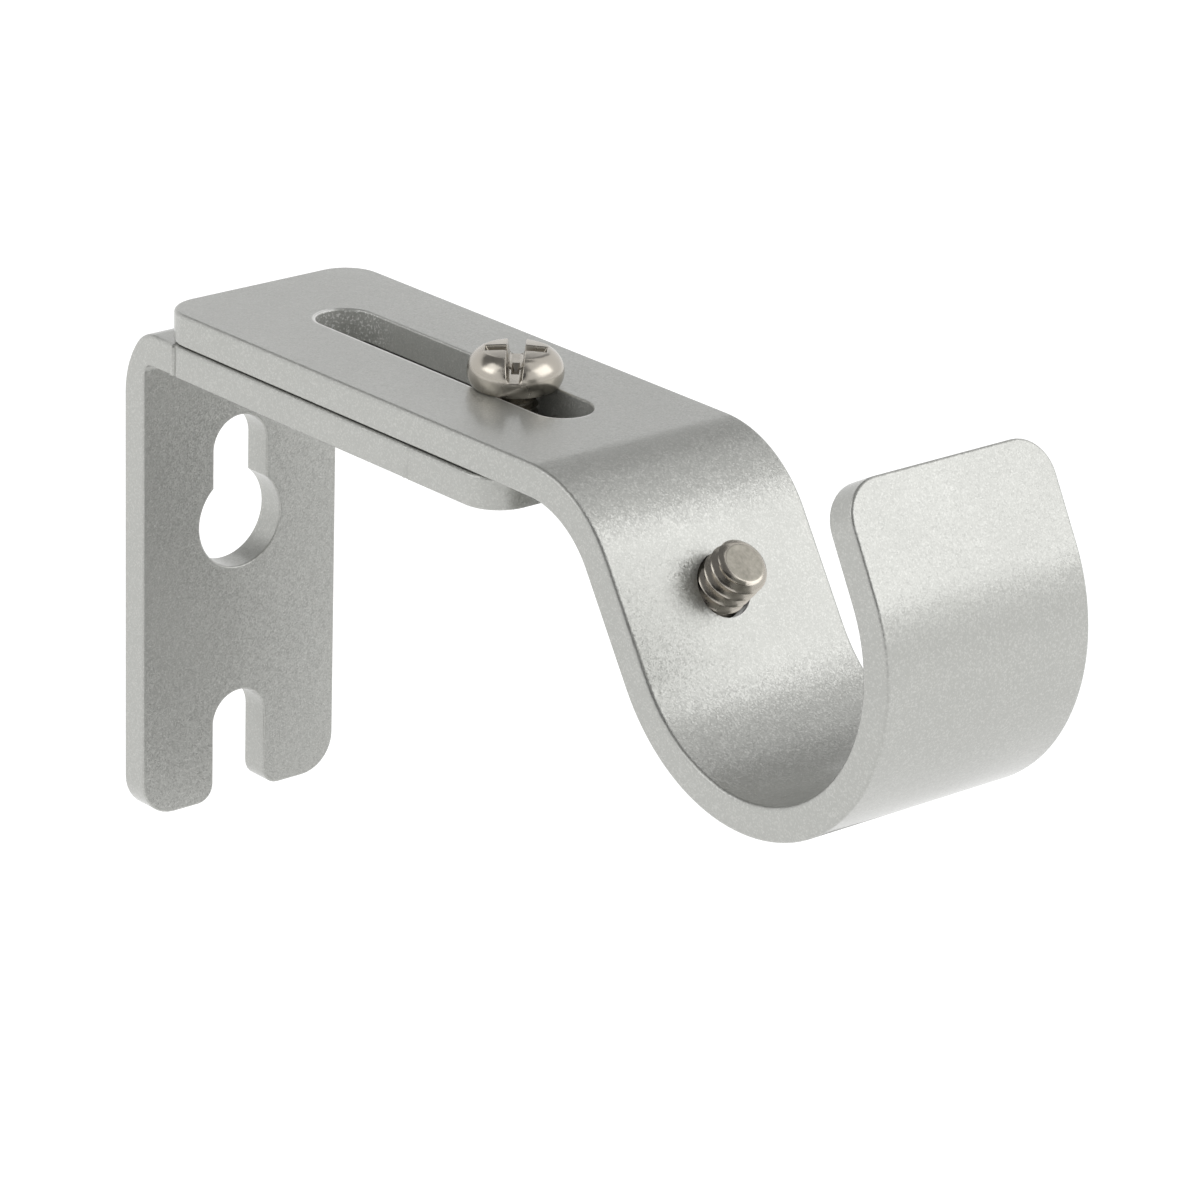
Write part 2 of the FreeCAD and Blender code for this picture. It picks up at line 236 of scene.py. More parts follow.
def slot_cutter(start, end, radius, axis, depth, segments=64):
    """A round-ended cutter between two centres, through the work along axis."""
    bm = bmesh.new()
    bmesh.ops.create_cone(
        bm, cap_ends=True, segments=segments, radius1=radius, radius2=radius, depth=depth,
        matrix=Matrix.Rotation(math.pi / segments, 4, 'Z'),
    )
    start, end, axis = Vector(start), Vector(end), Vector(axis)
    along = end - start
    if along.length > TINY:
        far = [v for v in bm.verts if v.co.x > 0]
        bmesh.ops.translate(bm, verts=far, vec=(along.length, 0, 0))
        side = axis.cross(along).normalized()
        turn = Matrix((along.normalized(), side, axis)).transposed().to_4x4()
    else:
        turn = axis.to_track_quat('Z', 'Y').to_matrix().to_4x4()
    bmesh.ops.transform(bm, matrix=Matrix.Translation(start) @ turn, verts=bm.verts[:])
    return outward(bm)


def temporary(name, bm):
    """A linked object that takes the mesh over."""
    mesh = bpy.data.meshes.new(name)
    bm.to_mesh(mesh)
    bm.free()
    thing = bpy.data.objects.new(name, mesh)
    bpy.context.scene.collection.objects.link(thing)
    return thing


def combined(bm, others, operation='DIFFERENCE'):
    """Cut, join or intersect the mesh with other closed meshes, one after another."""
    for other in others:
        work, tool = temporary("work", bm), temporary("tool", other)
        step = work.modifiers.new("combine", 'BOOLEAN')
        step.operation = operation
        step.solver = 'EXACT'
        step.object = tool
        graph = bpy.context.evaluated_depsgraph_get()
        mesh = bpy.data.meshes.new_from_object(work.evaluated_get(graph))
        bm = bmesh.new()
        bm.from_mesh(mesh)
        for thing in (tool, work):
            old = thing.data
            bpy.data.objects.remove(thing)
            bpy.data.meshes.remove(old)
        bpy.data.meshes.remove(mesh)
        bmesh.ops.remove_doubles(bm, verts=bm.verts[:], dist=1e-4)
        bmesh.ops.dissolve_degenerate(bm, dist=1e-4, edges=bm.edges[:])
        if not bm.faces:
            raise RuntimeError("a " + operation.lower() + " left nothing")
    return bm


def sharp_edges(bm, where, limit=35.0):
    """Edges that turn by more than limit degrees, with both ends where asked."""
    found = []
    for edge in bm.edges:
        if len(edge.link_faces) != 2 or edge.calc_face_angle() < math.radians(limit):
            continue
        if all(where(vert.co) for vert in edge.verts):
            found.append(edge)
    return found


def cut_across(bm, place, direction):
    """Score the mesh along a plane."""
    bmesh.ops.bisect_plane(
        bm, geom=everything(bm), dist=1e-5, plane_co=place, plane_no=direction,
    )


def swept_arc(bm, vert, centre, turn, steps):
    """Carry a vertex round a centre in the XZ plane and leave an arc of edges."""
    result = bmesh.ops.spin(
        bm, geom=[vert], cent=centre, axis=(0, 1, 0), angle=turn, steps=steps,
        use_merge=False,
    )
    return [item for item in result["geom_last"] if isinstance(item, bmesh.types.BMVert)][0]


def drawn_on(bm, vert, points):
    """Carry a vertex from point to point and leave edges."""
    for point in points:
        vert = bmesh.ops.extrude_vert_indiv(bm, verts=[vert])["verts"][0]
        vert.co = point
    return vert


def turned_solid(bm, steps):
    """Spin an outline in the XZ plane into a closed solid about Z."""
    bmesh.ops.spin(
        bm, geom=bm.verts[:] + bm.edges[:], cent=(0, 0, 0), axis=(0, 0, 1),
        angle=math.tau, steps=steps, use_merge=True,
    )
    bmesh.ops.remove_doubles(bm, verts=bm.verts[:], dist=1e-4)
    return outward(bm)


def threaded_rod(crest, depth, pitch, low, high, steps=48):
    """A closed rod with a true helical thread about Z."""
    root = crest - depth
    bm = bmesh.new()
    outline = [
        (root, 0.0), (root, 0.1), (crest - 0.2, 0.33), (crest - 0.06, 0.41), (crest, 0.5),
        (crest - 0.06, 0.59), (crest - 0.2, 0.67), (root, 0.9), (root, 1.0),
    ]
    first = low - 1.5 * pitch
    verts = [bm.verts.new((radius, 0, first + part * pitch)) for radius, part in outline]
    for one, other in zip(verts, verts[1:]):
        bm.edges.new((one, other))
    turns = math.ceil((high - low) / pitch) + 3
    bmesh.ops.spin(
        bm, geom=bm.verts[:] + bm.edges[:], cent=(0, 0, 0), axis=(0, 0, 1),
        dvec=(0, 0, pitch / steps), angle=math.tau * turns, steps=steps * turns,
        use_merge=False,
    )
    bmesh.ops.remove_doubles(bm, verts=bm.verts[:], dist=1e-3)
    for height, up in ((low, False), (high, True)):
        bmesh.ops.bisect_plane(
            bm, geom=everything(bm), dist=1e-5, plane_co=(0, 0, height),
            plane_no=(0, 0, 1), clear_outer=up, clear_inner=not up,
        )
    bmesh.ops.holes_fill(bm, edges=[e for e in bm.edges if e.is_boundary], sides=0)
    return outward(bm)


def finished(name, bm, node, body, material, smooth_limit=32.0):
    """Make the mesh a piece of the object, in metres, in place of a CAD node."""
    bmesh.ops.scale(bm, vec=(MM, MM, MM), verts=bm.verts[:])
    for face in bm.faces:
        face.smooth = True
    open_edges = sum(1 for edge in bm.edges if not edge.is_manifold)
    if open_edges:
        print("open edges in", name, open_edges)
    piece = temporary(name, bm)
    piece.data.name = name
    piece.data.materials.clear()
    piece.data.materials.append(material)
    piece.data.set_sharp_from_angle(angle=math.radians(smooth_limit))
    shading = piece.modifiers.new("Even shading", 'WEIGHTED_NORMAL')
    shading.keep_sharp = True
    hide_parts(node)
    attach(piece, body)
    return piece


# The folded arm

def folding_line(bars):
    """The arm's runs and bends: where each starts on the blank, in the air and its heading."""
    half = bars.thickness / 2
    centre = bars.leg_top + bars.gap + half
    steps = [
        (bars.shoulder_start - bars.arm_start, 0.0, 0.0),
        (None, bars.shoulder_radius + half, -bars.shoulder_turn),
        (bars.flank, 0.0, 0.0),
        (None, bars.hook_radius + half, bars.hook_turn),
        (bars.tip, 0.0, 0.0),
    ]
    place, heading, along, line = Vector((bars.arm_start, 0, centre)), 0.0, 0.0, []
    for run, radius, turn in steps:
        span = run if run is not None else radius * abs(turn)
        line.append(SimpleNamespace(
            start=along, span=span, place=place, heading=heading, radius=radius, turn=turn,
        ))
        place, heading = on_fold(line[-1], span, 0.0)
        along += span
    return line


def on_fold(step, distance, height):
    """A point over one run or bend of the folding line, and the heading there."""
    ahead = Vector((math.cos(step.heading), 0, math.sin(step.heading)))
    above = Vector((-ahead.z, 0, ahead.x))
    if not step.radius:
        return step.place + ahead * distance + above * height, step.heading
    way = math.copysign(1.0, step.turn)
    heading = step.heading + way * distance / step.radius
    centre = step.place + above * (way * step.radius)
    out = Vector((-math.sin(heading), 0, math.cos(heading)))
    return centre + out * (height - way * step.radius), heading


def folded(bm, line, spacing):
    """Score the flat blank across its bends and fold it along the line."""
    for step in line:
        if step.radius:
            count = math.ceil(abs(step.turn) / spacing)
            for number in range(count + 1):
                cut_across(bm, (step.start + step.span * number / count, 0, 0), (1, 0, 0))
    for vert in bm.verts:
        distance, side, height = vert.co
        step = max((s for s in line if s.start <= distance + TINY), key=lambda s: s.start,
                   default=line[0])
        point, heading = on_fold(step, distance - step.start, height)
        vert.co = Vector((point.x, side, point.z))


def set_screw_place(bars, screws):
    """Where the set screw leaves the flank's inner face, and its axis."""
    flank = folding_line(bars)[2]
    base, heading = on_fold(flank, screws.set_down, bars.thickness / 2)
    lean = heading + math.pi / 2 + screws.set_tilt
    return base, Vector((math.cos(lean), 0, math.sin(lean)))


# Finishes

def node_group(name, inputs, outputs):
    """An empty shader group with float, vector or colour sockets."""
    group = bpy.data.node_groups.new(name, 'ShaderNodeTree')
    kinds = {"value": 'NodeSocketFloat', "vector": 'NodeSocketVector', "colour": 'NodeSocketColor'}
    for label, kind, default in inputs:
        socket = group.interface.new_socket(name=label, in_out='INPUT', socket_type=kinds[kind])
        if default is not None:
            socket.default_value = default
    for label, kind in outputs:
        group.interface.new_socket(name=label, in_out='OUTPUT', socket_type=kinds[kind])
    return group


class Wiring:
    """Short ways to add and join the nodes of one tree."""

    def __init__(self, tree):
        self.tree = tree

    def add(self, kind, settings=None, inputs=None):
        node = self.tree.nodes.new(kind)
        for name, value in (settings or {}).items():
            setattr(node, name, value)
        for name, value in (inputs or {}).items():
            socket = node.inputs[name]
            if isinstance(value, bpy.types.NodeSocket):
                self.tree.links.new(value, socket)
            else:
                socket.default_value = value
        return node

    def maths(self, operation, first, second=0.0, clamp=False):
        node = self.add('ShaderNodeMath', {"operation": operation, "use_clamp": clamp},
                        {0: first, 1: second})
        return node.outputs[0]

    def spread(self, value, low, high, to_low=0.0, to_high=1.0):
        node = self.add('ShaderNodeMapRange', None, {
            "Value": value, "From Min": low, "From Max": high,
            "To Min": to_low, "To Max": to_high,
        })
        return node.outputs["Result"]

    def mixed(self, factor, first, second):
        node = self.add('ShaderNodeMix', {"data_type": 'RGBA'})
        for socket, value in ((node.inputs[0], factor), (node.inputs[6], first),
                              (node.inputs[7], second)):
            if isinstance(value, bpy.types.NodeSocket):
                self.tree.links.new(value, socket)
            else:
                socket.default_value = value
        return node.outputs[2]

    def noise(self, place, scale, detail=2.0, roughness=0.5):
        return self.add('ShaderNodeTexNoise', None, {
            "Vector": place, "Scale": scale, "Detail": detail, "Roughness": roughness,
        })


def flake_group():
    """Flakes of the metallic paint: a brightness mask and a normal that each flake tilts."""
    group = node_group(
        "Metal flakes",
        [("Place", "vector", None), ("Scale", "value", 9000.0), ("Tilt", "value", 0.2)],
        [("Mask", "value"), ("Normal", "vector")],
    )
    wires = Wiring(group)
    source = wires.add('NodeGroupInput')
    sink = wires.add('NodeGroupOutput')
    cells = wires.add('ShaderNodeTexVoronoi', None, {
        "Vector": source.outputs["Place"], "Scale": source.outputs["Scale"],
    })
    centred = wires.add('ShaderNodeVectorMath', {"operation": 'SUBTRACT'}, {
        0: cells.outputs["Color"], 1: (0.5, 0.5, 0.5),
    })
    tilted = wires.add('ShaderNodeVectorMath', {"operation": 'SCALE'}, {
        0: centred.outputs[0], "Scale": source.outputs["Tilt"],
    })
    surface = wires.add('ShaderNodeNewGeometry')
    leaned = wires.add('ShaderNodeVectorMath', {"operation": 'ADD'}, {
        0: surface.outputs["Normal"], 1: tilted.outputs[0],
    })
    unit = wires.add('ShaderNodeVectorMath', {"operation": 'NORMALIZE'}, {0: leaned.outputs[0]})
    split = wires.add('ShaderNodeSeparateColor', None, {"Color": cells.outputs["Color"]})
    bright = wires.spread(split.outputs[0], 0.55, 1.0)
    group.links.new(bright, sink.inputs["Mask"])
    group.links.new(unit.outputs[0], sink.inputs["Normal"])
    return group


def peel_group():
    """Height of the paint's orange peel with finer grit on it."""
    group = node_group(
        "Orange peel",
        [("Place", "vector", None), ("Peel scale", "value", 1100.0),
         ("Grit scale", "value", 5200.0), ("Grit share", "value", 0.35)],
        [("Height", "value")],
    )
    wires = Wiring(group)
    source = wires.add('NodeGroupInput')
    sink = wires.add('NodeGroupOutput')
    peel = wires.noise(source.outputs["Place"], source.outputs["Peel scale"], 1.5)
    grit = wires.noise(source.outputs["Place"], source.outputs["Grit scale"], 2.0, 0.6)
    fine = wires.maths('MULTIPLY', grit.outputs[0], source.outputs["Grit share"])
    height = wires.maths('ADD', peel.outputs[0], fine)
    group.links.new(height, sink.inputs["Height"])
    return group


def smudge_group():
    """Soft uneven mask of handling, from 0 to 1."""
    group = node_group(
        "Handling smudges",
        [("Place", "vector", None), ("Scale", "value", 90.0)],
        [("Mask", "value")],
    )
    wires = Wiring(group)
    source = wires.add('NodeGroupInput')
    sink = wires.add('NodeGroupOutput')
    cloud = wires.noise(source.outputs["Place"], source.outputs["Scale"], 4.0, 0.6)
    mask = wires.spread(cloud.outputs[0], 0.35, 0.7)
    group.links.new(mask, sink.inputs["Mask"])
    return group


def slot_group():
    """Masks of the long slot's walls, of a painted highlight along its near rim and of painted glints
    on its walls at the end nearer the wall.
    """
    group = node_group(
        "Long slot",
        [("Place", "vector", None), ("Middle", "vector", None), ("Half run", "value", 0.014),
         ("Radius", "value", 0.0026)],
        [("Wall", "value"), ("Rim highlight", "value"), ("End glints", "value")],
    )
    wires = Wiring(group)
    source = wires.add('NodeGroupInput')
    sink = wires.add('NodeGroupOutput')
    away = wires.add('ShaderNodeVectorMath', {"operation": 'SUBTRACT'}, {
        0: source.outputs["Place"], 1: source.outputs["Middle"],
    })
    parts = wires.add('ShaderNodeSeparateXYZ', None, {0: away.outputs[0]})
    along = wires.maths('ABSOLUTE', parts.outputs[0])
    past = wires.maths('SUBTRACT', along, source.outputs["Half run"])
    past = wires.maths('MAXIMUM', past, 0.0)
    flat = wires.add('ShaderNodeCombineXYZ', None, {0: past, 1: parts.outputs[1]})
    reach = wires.add('ShaderNodeVectorMath', {"operation": 'LENGTH'}, {0: flat.outputs[0]})
    outside = wires.maths('SUBTRACT', reach.outputs["Value"], source.outputs["Radius"])
    wall = wires.spread(outside, 0.00002, 0.00006, 1.0, 0.0)
    # Painted highlight: a band along the slot's near rim. Painted glints: the walls at the slot's end
    # nearer the wall.
    near = wires.spread(parts.outputs[1], 0.0, 0.001, 1.0, 0.0)
    band = wires.spread(outside, 0.00026, 0.00038, 1.0, 0.0)
    at_end = wires.spread(parts.outputs[0], -0.0135, -0.0105, 1.0, 0.0)
    rough = wires.maths('MULTIPLY', wall, at_end)
    painted_highlight = wires.maths('MULTIPLY', wires.maths('MULTIPLY', band, near),
                       wires.maths('SUBTRACT', 1.0, wall))
    group.links.new(wall, sink.inputs["Wall"])
    group.links.new(painted_highlight, sink.inputs["Rim highlight"])
    group.links.new(rough, sink.inputs["End glints"])
    return group


def shared_group(name, make):
    """The group of that name, made the first time it is asked for."""
    return bpy.data.node_groups.get(name) or make()


def material_tree(name):
    """A new material with its wiring, shader and object coordinates."""
    material = bpy.data.materials.new(name)
    material.use_nodes = True
    tree = material.node_tree
    tree.nodes.clear()
    wires = Wiring(tree)
    output = wires.add('ShaderNodeOutputMaterial')
    shader = wires.add('ShaderNodeBsdfPrincipled')
    tree.links.new(shader.outputs[0], output.inputs["Surface"])
    place = wires.add('ShaderNodeTexCoord').outputs["Object"]
    return material, wires, shader, place


def place_group(wires, group, inputs):
    """An instance of a shader group."""
    node = wires.add('ShaderNodeGroup', {"node_tree": group})
    for name, value in inputs.items():
        socket = node.inputs[name]
        if isinstance(value, bpy.types.NodeSocket):
            wires.tree.links.new(value, socket)
        else:
            socket.default_value = value
    return node


def silver_paint(name, peel_strength, flake_tilt, bars=None):
    """Satin silver paint with flakes, orange peel, faint smudges and, on the arm, a painted highlight
    along the long slot's near rim with painted glints on its end walls.
    """
    finishes = bpy.context.scene.bracket_finishes
    material, wires, shader, place = material_tree(name)
    flakes = place_group(wires, shared_group("Metal flakes", flake_group), {
        "Place": place, "Scale": 8200.0, "Tilt": flake_tilt,
    })
    peel = place_group(wires, shared_group("Orange peel", peel_group), {"Place": place})
    smudge = place_group(wires, shared_group("Handling smudges", smudge_group), {
        "Place": place, "Scale": 75.0,
    })
    paint = (*finishes.paint, 1.0)
    flake = (*finishes.flake, 1.0)
    share = wires.maths('MULTIPLY', flakes.outputs["Mask"], 0.26)
    base = wires.mixed(share, paint, flake)
    shader.inputs["Metallic"].default_value = 0.8
    if bars:
        middle = (bars.slot_start + bars.slot_length / 2, bars.slot_side, bars.leg_top)
        slot = place_group(wires, shared_group("Long slot", slot_group), {
            "Place": place, "Middle": Vector(middle) * MM,
            "Half run": (bars.slot_length - bars.slot_width) / 2 * MM,
            "Radius": bars.slot_width / 2 * MM,
        })
        # Specks on the slot's end walls and the band along its near rim take a brighter colour: painted
        # glints and a painted highlight.
        specks = wires.noise(place, 4200.0, 1.0)
        highlight_share = wires.maths('MULTIPLY', wires.spread(specks.outputs[0], 0.54, 0.66),
                           slot.outputs["End glints"])
        highlight_share = wires.maths('MULTIPLY', wires.maths('MAXIMUM', highlight_share, slot.outputs["Rim highlight"]), 0.85)
        base = wires.mixed(highlight_share, base, (*finishes.painted_highlight, 1.0))
        metal = wires.spread(slot.outputs["Wall"], 0.0, 1.0, 0.8, 0.35)
        wires.tree.links.new(metal, shader.inputs["Metallic"])
    wires.tree.links.new(base, shader.inputs["Base Color"])
    rough = wires.spread(smudge.outputs["Mask"], 0.0, 1.0, 0.38, 0.44)
    wires.tree.links.new(rough, shader.inputs["Roughness"])
    bump = wires.add('ShaderNodeBump', None, {
        "Strength": peel_strength, "Distance": 0.00004,
        "Height": peel.outputs["Height"], "Normal": flakes.outputs["Normal"],
    })
    wires.tree.links.new(bump.outputs[0], shader.inputs["Normal"])
    shader.inputs["Coat Weight"].default_value = 0.6
    shader.inputs["Coat Roughness"].default_value = 0.15
    return material


def nickel_plate(name, end=None):
    """Polished nickel with fine scratches, painted shade with some soiling in its hollows and near the
    arm, and a dull flat end.
    """
    finishes = bpy.context.scene.bracket_finishes
    material, wires, shader, place = material_tree(name)
    smudge = place_group(wires, shared_group("Handling smudges", smudge_group), {
        "Place": place, "Scale": 420.0,
    })
    grain = wires.noise(place, 2600.0, 3.0, 0.6)
    rough = wires.spread(smudge.outputs["Mask"], 0.0, 1.0, 0.19, 0.31)
    dents = wires.noise(place, 900.0, 2.0, 0.5)
    relief = wires.maths('ADD', wires.maths('MULTIPLY', grain.outputs[0], 0.3),
                         dents.outputs[0])
    bump = wires.add('ShaderNodeBump', None, {
        "Strength": 0.35, "Distance": 0.00004, "Height": relief,
    })
    wires.tree.links.new(bump.outputs[0], shader.inputs["Normal"])
    # Painted shade with some soiling: ambient occlusion darkens the plating in its hollows and close to
    # the arm.
    hollow = wires.add('ShaderNodeAmbientOcclusion', {"inside": False, "samples": 8}, {
        "Distance": 0.0012,
    })
    dirt_and_shade = wires.spread(hollow.outputs["AO"], 0.05, 0.4, 0.6, 0.0)
    base = wires.mixed(dirt_and_shade, (*finishes.nickel, 1.0), (*finishes.grime_and_shade, 1.0))
    if end:
        centre, axis = end
        away = wires.add('ShaderNodeVectorMath', {"operation": 'SUBTRACT'}, {
            0: place, 1: centre,
        })
        ahead = wires.add('ShaderNodeVectorMath', {"operation": 'DOT_PRODUCT'}, {
            0: away.outputs[0], 1: axis,
        })
        flat = wires.spread(ahead.outputs["Value"], -0.00002, -0.000005)
        ground = wires.mixed(grain.outputs[0], (*finishes.ground_end, 1.0),
                             (*finishes.nickel, 1.0))
        base = wires.mixed(flat, base, ground)
        rough = wires.maths('ADD', rough, wires.maths('MULTIPLY', flat, 0.25))
    wires.tree.links.new(rough, shader.inputs["Roughness"])
    wires.tree.links.new(base, shader.inputs["Base Color"])
    shader.inputs["Metallic"].default_value = 1.0
    return material


# Pieces

def outer_bend(bars):
    """Centres and ends of the two arcs that share the wall angle's outer bend."""
    between = bars.bend_plate - bars.bend_leg
    fall = bars.bend_drop - bars.bend_leg
    reach = bars.bend_plate - math.sqrt(between ** 2 - fall ** 2)
    low = Vector((bars.bend_plate, 0, bars.leg_top - bars.bend_drop))
    high = Vector((reach, 0, bars.leg_top - bars.bend_leg))
    return SimpleNamespace(low=low, high=high, turn=math.atan2(high.z - low.z, low.x - high.x))


def on_inner_side(bars, co):
    """Whether a point lies on the wall angle's inner surface."""
    top = bars.leg_top - bars.thickness
    centre_x, centre_z = bars.thickness + bars.bend_inner, top - bars.bend_inner
    if co.z <= centre_z:
        return abs(co.x - bars.thickness) < TINY
    if co.x >= centre_x:
        return abs(co.z - top) < TINY
    away = math.hypot(co.x - centre_x, co.z - centre_z)
    return abs(away - bars.bend_inner) < BEND_SLACK


def on_outer_side(bars, co):
    """Whether a point lies on the wall angle's outer surface."""
    bend = outer_bend(bars)
    if co.z <= bend.low.z + TINY:
        return abs(co.x) < TINY
    if co.x >= bend.high.x - TINY:
        return abs(co.z - bars.leg_top) < TINY
    flat = Vector((co.x, 0, co.z))
    on_low = abs((flat - bend.low).length - bars.bend_plate) < BEND_SLACK
    return on_low or abs((flat - bend.high).length - bars.bend_leg) < BEND_SLACK


class BRACKET_OT_wall_bracket(bpy.types.Operator):
    """Make the wall angle with its keyhole, fork and sheared edges"""

    bl_idname = "bracket.wall_bracket"
    bl_label = "Wall Bracket"

    def execute(self, context):
        bars = plain(context.scene.bracket_bars)
        screws = plain(context.scene.bracket_screws)
        half = bars.width / 2
        under = bars.leg_top - bars.thickness
        bottom = bars.leg_top - bars.plate_height
        bm = self.side_outline(bars, half, bottom)
        inner = corners_at(bm, (bars.thickness, -half, under))
        rounded(bm, inner, bars.bend_inner, 6, 'VERTICES')
        extruded(bm, (0, bars.width, 0))
        self.round_corners(bm, bars, half, bottom)
        self.step_near_side(bm, bars, half)
        bm = combined(bm, self.cutters(bars, screws, bottom))
        mouth = [
            e for e in bm.edges
            if all(abs(v.co.z - bottom) < TINY and abs(abs(v.co.y) - bars.fork_width / 2) < 0.02
                   for v in e.verts) and abs(e.verts[0].co.x - e.verts[1].co.x) > 1
        ]
        rounded(bm, mouth, bars.fork_mouth, 6)
        bmesh.ops.dissolve_limit(
            bm, angle_limit=math.radians(0.1), verts=bm.verts[:], edges=bm.edges[:],
        )
        outer = sharp_edges(bm, lambda co: on_outer_side(bars, co))
        rolled = [e for e in outer if not self.in_hole(bars, screws, e)]
        holes = [e for e in outer if self.in_hole(bars, screws, e)]
        rounded(bm, rolled, bars.roll, 5)
        rounded(bm, [e for e in holes if e.is_valid], bars.burr, 2)
        rounded(bm, sharp_edges(bm, lambda co: on_inner_side(bars, co)), bars.burr, 3)
        finished(
            "wall_bracket_bar", bm, "wall_bracket", "wall",
            silver_paint("Silver paint, wall bracket", 0.55, 0.16),
        )
        return {'FINISHED'}

    @staticmethod
    def side_outline(bars, half, bottom):
        """One face: the near side of the angle, before its inner corner is rounded."""
        bend = outer_bend(bars)
        aside = Vector((0, -half, 0))
        bm = bmesh.new()
        first = bm.verts.new((0, -half, bottom))
        vert = drawn_on(bm, first, [(0, -half, bend.low.z)])
        vert = swept_arc(bm, vert, bend.low + aside, bend.turn, 9)
        vert = swept_arc(bm, vert, bend.high + aside, math.pi / 2 - bend.turn, 12)
        under = bars.leg_top - bars.thickness
        last = drawn_on(bm, vert, [
            (bars.leg_length, -half, bars.leg_top), (bars.leg_length, -half, under),
            (bars.thickness, -half, under), (bars.thickness, -half, bottom),
        ])
        bmesh.ops.remove_doubles(bm, verts=bm.verts[:], dist=TINY)
        bm.edges.new((last, first))
        bmesh.ops.contextual_create(bm, geom=bm.edges[:])
        return bm

    @staticmethod
    def round_corners(bm, bars, half, bottom):
        def upright(edge, axis, place):
            one, other = (v.co for v in edge.verts)
            across = abs(one.y - other.y) > TINY
            return not across and all(
                abs(co[axis] - place) < TINY and abs(abs(co.y) - half) < TINY
                for co in (one, other)
            )
        leg_end = [e for e in bm.edges if upright(e, 0, bars.leg_length)]
        rounded(bm, leg_end, bars.leg_corner, 10)
        plate_end = [e for e in bm.edges if upright(e, 2, bottom)]
        rounded(bm, plate_end, bars.plate_corner, 9)

    @staticmethod
    def step_near_side(bm, bars, half):
        """The shear bit in three strokes along the near edge and left a ridge at each start."""
        places = [place for place, proud in SHEAR_STROKES]
        for place in places:
            cut_across(bm, (place, 0, 0), (1, 0, 0))
        for vert in bm.verts:
            if vert.co.y < 0:
                nearest = max((place for place in places if place < vert.co.x + TINY),
                              default=places[0])
                vert.co.y *= (half + dict(SHEAR_STROKES)[nearest]) / half

    @staticmethod
    def cutters(bars, screws, bottom):
        through, across = 4 * bars.thickness, (1, 0, 0)
        middle = bars.thickness / 2
        entry = (middle, 0, bars.keyhole_height)
        neck = (middle, 0, bars.neck_height)
        fork = (middle, 0, bars.fork_height)
        below = (middle, 0, bottom - bars.fork_width)
        clamp = (screws.clamp_x, screws.clamp_y, bars.leg_top)
        return [
            slot_cutter(entry, entry, bars.keyhole_radius, across, through, 96),
            slot_cutter(entry, neck, bars.neck_width / 2, across, through),
            slot_cutter(fork, below, bars.fork_width / 2, across, through),
            slot_cutter(clamp, clamp, screws.clamp_crest + screws.clearance, (0, 0, 1), through),
        ]

    @staticmethod
    def in_hole(bars, screws, edge):
        """Whether a rim edge belongs to the keyhole or the fork's slot."""
        middle = (edge.verts[0].co + edge.verts[1].co) / 2
        near_mouth = abs(middle.y) < bars.fork_width / 2 + bars.fork_mouth - TINY
        inside_keyhole = abs(middle.y) < bars.keyhole_radius + TINY
        in_leg = middle.x > bars.bend_plate
        lowest = bars.leg_top - bars.plate_height
        at_bottom = abs(middle.z - lowest) < TINY
        if in_leg:
            away = math.hypot(middle.x - screws.clamp_x, middle.y - screws.clamp_y)
            return away < 2 * screws.clamp_crest
        if at_bottom:
            return False
        return near_mouth if middle.z < bars.fork_height + 4 else inside_keyhole


class BRACKET_OT_pole_arm(bpy.types.Operator):
    """Cut the arm's blank, fold it into the hook and drill the flank"""

    bl_idname = "bracket.pole_arm"
    bl_label = "Pole Arm"

    def execute(self, context):
        bars = plain(context.scene.bracket_bars)
        screws = plain(context.scene.bracket_screws)
        line = folding_line(bars)
        whole = line[-1].start + line[-1].span
        half, low = bars.width / 2, -bars.thickness / 2
        ends = [(0, -half, low), (whole, -half, low), (whole, half, low), (0, half, low)]
        bm = polygon(ends)
        rounded(bm, bm.verts[:], bars.arm_corner, 10, 'VERTICES')
        extruded(bm, (0, 0, bars.thickness))
        radius = bars.slot_width / 2
        first = bars.slot_start - bars.arm_start + radius
        last = first + bars.slot_length - bars.slot_width
        bm = combined(bm, [slot_cutter(
            (first, bars.slot_side, 0), (last, bars.slot_side, 0), radius, (0, 0, 1),
            4 * bars.thickness,
        )])
        bmesh.ops.dissolve_limit(
            bm, angle_limit=math.radians(0.1), verts=bm.verts[:], edges=bm.edges[:],
        )
        self.round_rims(bm, bars, radius)
        folded(bm, line, math.radians(3.0))
        base, axis = set_screw_place(bars, screws)
        flank = line[2].heading
        base += screws.flank_drop * Vector((math.cos(flank), 0, math.sin(flank)))
        hole = slot_cutter(
            base, base, screws.set_crest + screws.flank_clearance, axis, 6 * bars.thickness, 72,
        )
        bm = combined(bm, [hole])
        finished(
            "pole_arm_bar", bm, "pole_arm", "arm",
            silver_paint("Silver paint, pole arm", 0.75, 0.18, bars),
        )
        return {'FINISHED'}

    @staticmethod
    def round_rims(bm, bars, radius):
        high = bars.thickness / 2
        def in_slot(edge):
            middle = (edge.verts[0].co + edge.verts[1].co) / 2
            return (abs(middle.y - bars.slot_side) < radius + TINY
                    and middle.x > bars.arm_corner)
        inside = bars.slot_start + bars.slot_length
        upper = sharp_edges(bm, lambda co: abs(co.z - high) < TINY)
        slot = [e for e in upper if in_slot(e) and e.verts[0].co.x < inside]
        rim = [e for e in upper if e not in slot]
        rounded(bm, rim, bars.roll, 5)
        rounded(bm, [e for e in slot if e.is_valid], bars.slot_rim, 4)
        lower = sharp_edges(bm, lambda co: abs(co.z + high) < TINY)
        rounded(bm, lower, bars.underside, 4)


